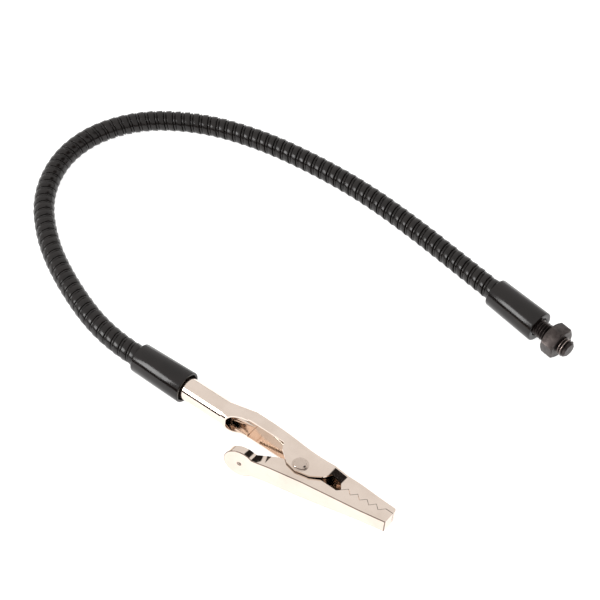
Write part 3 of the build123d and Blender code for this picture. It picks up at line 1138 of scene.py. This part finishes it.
@dataclass
class Clip:
    """The crocodile clip: the frame's two jaws, the lower one with its folds bent, a rivet and a spring."""

    path: ArmPath
    finishes: FinishRack
    roll: float = 7.0
    pivot_along: float = 38.7 * MM
    pivot_across: float = -3.5 * MM
    ear_face: float = 3.75 * MM
    head_radius: float = 1.7 * MM
    head_height: float = 0.6 * MM
    pin_radius: float = 1.3 * MM
    staking: float = 0.07
    fold_round: float = 0.2 * MM
    ear_clear: float = 0.02 * MM
    dome_share: float = 0.8
    crown_inset: float = 0.55 * MM
    crown_rise: float = 0.06 * MM
    head_edge: float = 0.1 * MM

    def axes(self) -> tuple[Vector, Vector, Vector, Vector]:
        """The clip's zero and its three directions.

        Returns:
            The ferrule's face on the axis, then along, across and out of the side.
        """
        along = self.path.ahead(self.path.headings[-1])
        level = Vector((-along.y, along.x, 0))
        up = Vector((0, 0, 1))
        slope = math.radians(self.roll)
        out = up * math.cos(slope) + level * math.sin(slope)
        across = level * math.cos(slope) - up * math.sin(slope)
        return self.path.clip_mouth() + self.path.ferrule_length * along, along, across, out

    def build(self) -> None:
        """Dress the upper jaw and the spring, bend the lower jaw's folds and make the rivet."""
        self.dress("upper_jaw", self.finishes.nickel)
        self.bend_folds("lower_jaw", "lower_jaw")
        self.dress("jaw_spring", self.finishes.spring)
        self.rivet()

    def bend_folds(self, node: str, body: str) -> None:
        """Take the frame's jaw and bend the folds between its back and its sides to a radius, and give the
        rounded folds a dark nickel that is painted shade along each bend.

        Args:
            node: the frame node that gives the shape.
            body: the body it rides on.
        """
        jaw = bpy.data.objects.new(node + "_pressed", frame["nodes"][node].data.copy())
        bpy.context.scene.collection.objects.link(jaw)
        Bench.pick(jaw)
        bpy.ops.object.mode_set(mode="EDIT")
        bpy.ops.mesh.select_mode(type="EDGE")
        bpy.ops.mesh.select_all(action="SELECT")
        bpy.ops.mesh.remove_doubles(threshold=0.0005 * MM)
        bpy.ops.mesh.dissolve_limited(angle_limit=math.radians(0.4))
        bpy.ops.mesh.select_all(action="DESELECT")
        Bench.leave()
        beside: dict[tuple[int, int], list[Vector]] = {}
        for face in jaw.data.polygons:
            for key in face.edge_keys:
                beside.setdefault(key, []).append(face.normal)
        across = self.axes()[2]
        for edge in jaw.data.edges:
            normals = beside.get(tuple(sorted(edge.vertices)), [])
            backs = [normal for normal in normals if normal.dot(across) < -0.9]
            edge.select = len(normals) == 2 and len(backs) == 1
        Bench.pick(jaw)
        bpy.ops.object.mode_set(mode="EDIT")
        bpy.ops.transform.edge_bevelweight(value=1.0)
        Bench.leave()
        bend = jaw.modifiers.new("folds", "BEVEL")
        bend.limit_method = "WEIGHT"
        bend.width = self.fold_round
        bend.segments = 4
        bend.use_clamp_overlap = False
        # The bevelled fold faces take the second finish, the dark nickel that paints the shade along each bend.
        bend.material = 1
        jaw.data.materials.clear()
        jaw.data.materials.append(self.finishes.nickel)
        jaw.data.materials.append(self.finishes.bend)
        Bench.apply(jaw)
        Bench.smooth(jaw, angle=32)
        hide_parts(node)
        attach(jaw, body)
        log.info("%s pressed with %d faces", node, len(jaw.data.polygons))

    @staticmethod
    def dress(node: str, finish: bpy.types.Material) -> None:
        """Give a frame node its finish.

        Args:
            node: the node's name.
            finish: the finish for all of it.
        """
        piece = frame["nodes"][node]
        for place in piece.material_slots:
            place.material = finish
        log.info("%s dressed", node)

    def rivet(self) -> None:
        """A shank through the ears with a staked, slightly three-lobed head on each side."""
        zero, along, across, out = self.axes()
        shank = self.ear_face - self.ear_clear
        pin = Bench.bar(self.pin_radius, 2 * shank, 48, -shank)
        for sign in (1, -1):
            self.stake(pin, sign)
        for vertex in pin.data.vertices:
            if abs(vertex.co.z) > shank:
                lobe = 1 + self.staking * math.cos(3 * math.atan2(vertex.co.y, vertex.co.x) + 0.6)
                vertex.co.x *= lobe
                vertex.co.y *= lobe
        Bench.soften(pin, self.head_edge, segments=2, angle=30)
        Bench.clean(pin, 0.001 * MM)
        Bench.smooth(pin, angle=40)
        pin.data.materials.append(self.finishes.rivet)
        pin.name = "pivot_rivet_staked"
        place = zero + self.pivot_along * along + self.pivot_across * across
        Bench.stand(pin, place, out, along)
        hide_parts("pivot_rivet")
        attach(pin, "clip_end")
        log.info("rivet built")

    def stake(self, pin: bpy.types.Object, sign: int) -> None:
        """Spread one end of the shank into a head.

        Args:
            pin: the shank along Z.
            sign: 1 for the upper end, -1 for the lower.
        """
        Bench.choose_faces(pin, lambda centre, normal: normal.z * sign > 0.9)
        bpy.ops.mesh.extrude_region_move(TRANSFORM_OT_translate={"value": (0, 0, sign * self.ear_clear)})
        spread = self.head_radius / self.pin_radius
        bpy.ops.transform.resize(value=(spread, spread, 1))
        for share in (0.6, 0.35):
            bpy.ops.mesh.extrude_region_move(
                TRANSFORM_OT_translate={"value": (0, 0, sign * self.head_height * share)})
        bpy.ops.transform.resize(value=(self.dome_share, self.dome_share, 1))
        bpy.ops.mesh.inset(thickness=self.crown_inset)
        bpy.ops.transform.translate(value=(0, 0, sign * self.crown_rise))
        Bench.leave()


# ---------------------------------------------------------------- studio


@dataclass
class Studio:
    """The table, the white tent with its dark doorway, a soft box and the camera."""

    finishes: FinishRack
    table_reach: float = 1.6
    tent_strength: float = 0.9
    doorway: tuple[float, float, float] = (0.58, 0.18, 0.79)
    doorway_edge: tuple[float, float] = (0.93, 0.965)
    skirting: tuple[float, float] = (0.24, 0.34)
    skirting_front: tuple[float, float] = (-0.1, 0.25)
    soft_box_place: tuple[float, float, float] = (-0.63, -0.23, 0.36)
    soft_box_size: float = 0.3
    soft_box_power: float = 2.2
    camera_place: tuple[float, float, float] = (0.0015, -0.2715, 0.3433)
    camera_aim: tuple[float, float, float] = (0.0015, 0.0, AXIS_HEIGHT)
    lens: float = 97.6

    def build(self) -> None:
        """Set up the table, the light and the camera."""
        Bench.clear()
        bpy.ops.mesh.primitive_plane_add(size=2 * self.table_reach)
        table = bpy.context.object
        table.name = "table_top"
        table.data.materials.append(self.finishes.table)
        self.tent()
        self.lamp("side_soft_box", self.soft_box_place, self.soft_box_size, self.soft_box_power)
        self.camera()
        bpy.context.scene.view_settings.view_transform = "Standard"
        log.info("studio built")

    def tent(self) -> None:
        """White surroundings with a dark skirting low in front and a dark doorway overhead."""
        world = bpy.data.worlds.new("white_tent")
        bpy.context.scene.world = world
        world.use_nodes = True
        nodes, links = world.node_tree.nodes, world.node_tree.links
        background = nodes["Background"]
        background.inputs["Strength"].default_value = self.tent_strength
        place = nodes.new("ShaderNodeTexCoord")
        split = nodes.new("ShaderNodeSeparateXYZ")
        links.new(place.outputs["Generated"], split.inputs["Vector"])
        height = self.step(nodes, links, split.outputs["Z"], *self.skirting)
        front = self.step(nodes, links, split.outputs["Y"], *self.skirting_front)
        bright = nodes.new("ShaderNodeMath")
        bright.operation = "MAXIMUM"
        links.new(height, bright.inputs[0])
        links.new(front, bright.inputs[1])
        toward = nodes.new("ShaderNodeVectorMath")
        toward.operation = "DOT_PRODUCT"
        toward.inputs[1].default_value = Vector(self.doorway).normalized()
        links.new(place.outputs["Generated"], toward.inputs[0])
        door = self.step(nodes, links, toward.outputs["Value"], *self.doorway_edge)
        shut = nodes.new("ShaderNodeMath")
        shut.operation = "SUBTRACT"
        shut.use_clamp = True
        links.new(bright.outputs["Value"], shut.inputs[0])
        links.new(door, shut.inputs[1])
        shade = nodes.new("ShaderNodeValToRGB")
        shade.color_ramp.elements[0].color = (0.02, 0.017, 0.016, 1)
        shade.color_ramp.elements[1].color = (1.0, 0.98, 0.96, 1)
        links.new(shut.outputs["Value"], shade.inputs["Fac"])
        links.new(shade.outputs["Color"], background.inputs["Color"])

    @staticmethod
    def step(nodes: bpy.types.Nodes, links: bpy.types.NodeLinks, value: bpy.types.NodeSocket, start: float,
             end: float) -> bpy.types.NodeSocket:
        """A soft step from 0 to 1.

        Args:
            nodes: the node sheet's nodes.
            links: its links.
            value: the value that is stepped.
            start: where it leaves 0.
            end: where it reaches 1.

        Returns:
            The stepped value.
        """
        node = nodes.new("ShaderNodeMapRange")
        node.interpolation_type = "SMOOTHSTEP"
        node.inputs["From Min"].default_value = start
        node.inputs["From Max"].default_value = end
        links.new(value, node.inputs["Value"])
        return node.outputs["Result"]

    @staticmethod
    def lamp(name: str, place: tuple[float, float, float], size: float, power: float) -> None:
        """A square soft box that faces the object.

        Args:
            name: the lamp's name.
            place: where it hangs.
            size: its side in metres.
            power: its power in watts.
        """
        data = bpy.data.lights.new(name, "AREA")
        data.size = size
        data.energy = power
        lamp = bpy.data.objects.new(name, data)
        bpy.context.scene.collection.objects.link(lamp)
        lamp.location = place
        lamp.rotation_euler = (-Vector(place)).to_track_quat("-Z", "Y").to_euler()

    def camera(self) -> None:
        """The camera, level and looking down at the arm."""
        data = bpy.data.cameras.new("camera")
        data.lens = self.lens
        data.sensor_width = 36.0
        data.clip_start = 0.01
        camera = bpy.data.objects.new("camera", data)
        bpy.context.scene.collection.objects.link(camera)
        camera.location = self.camera_place
        aim = Vector(self.camera_aim) - Vector(self.camera_place)
        camera.rotation_euler = aim.to_track_quat("-Z", "Y").to_euler()
        bpy.context.scene.camera = camera


def main() -> None:
    """Build the arm from the stud to the clip, then the studio round it."""
    logging.basicConfig(level=logging.INFO, format="%(name)s: %(message)s")
    finishes = FinishRack()
    path = ArmPath()
    Studio(finishes).build()
    Neck(path, finishes).build()
    stud_axis = -path.ahead(path.headings[0])
    clip_axis = path.ahead(path.headings[-1])
    Ferrule("stud_end_ferrule", "stud_end", path.stud_mouth(), stud_axis, 2.72 * MM, 0.8 * MM, finishes).build()
    Ferrule("clip_end_ferrule", "clip_end", path.clip_mouth(), clip_axis, 3.62 * MM, 1.6 * MM, finishes).build()
    StudAndNut(path, finishes).build()
    Clip(path, finishes).build()


if __name__ == "__main__":
    main()
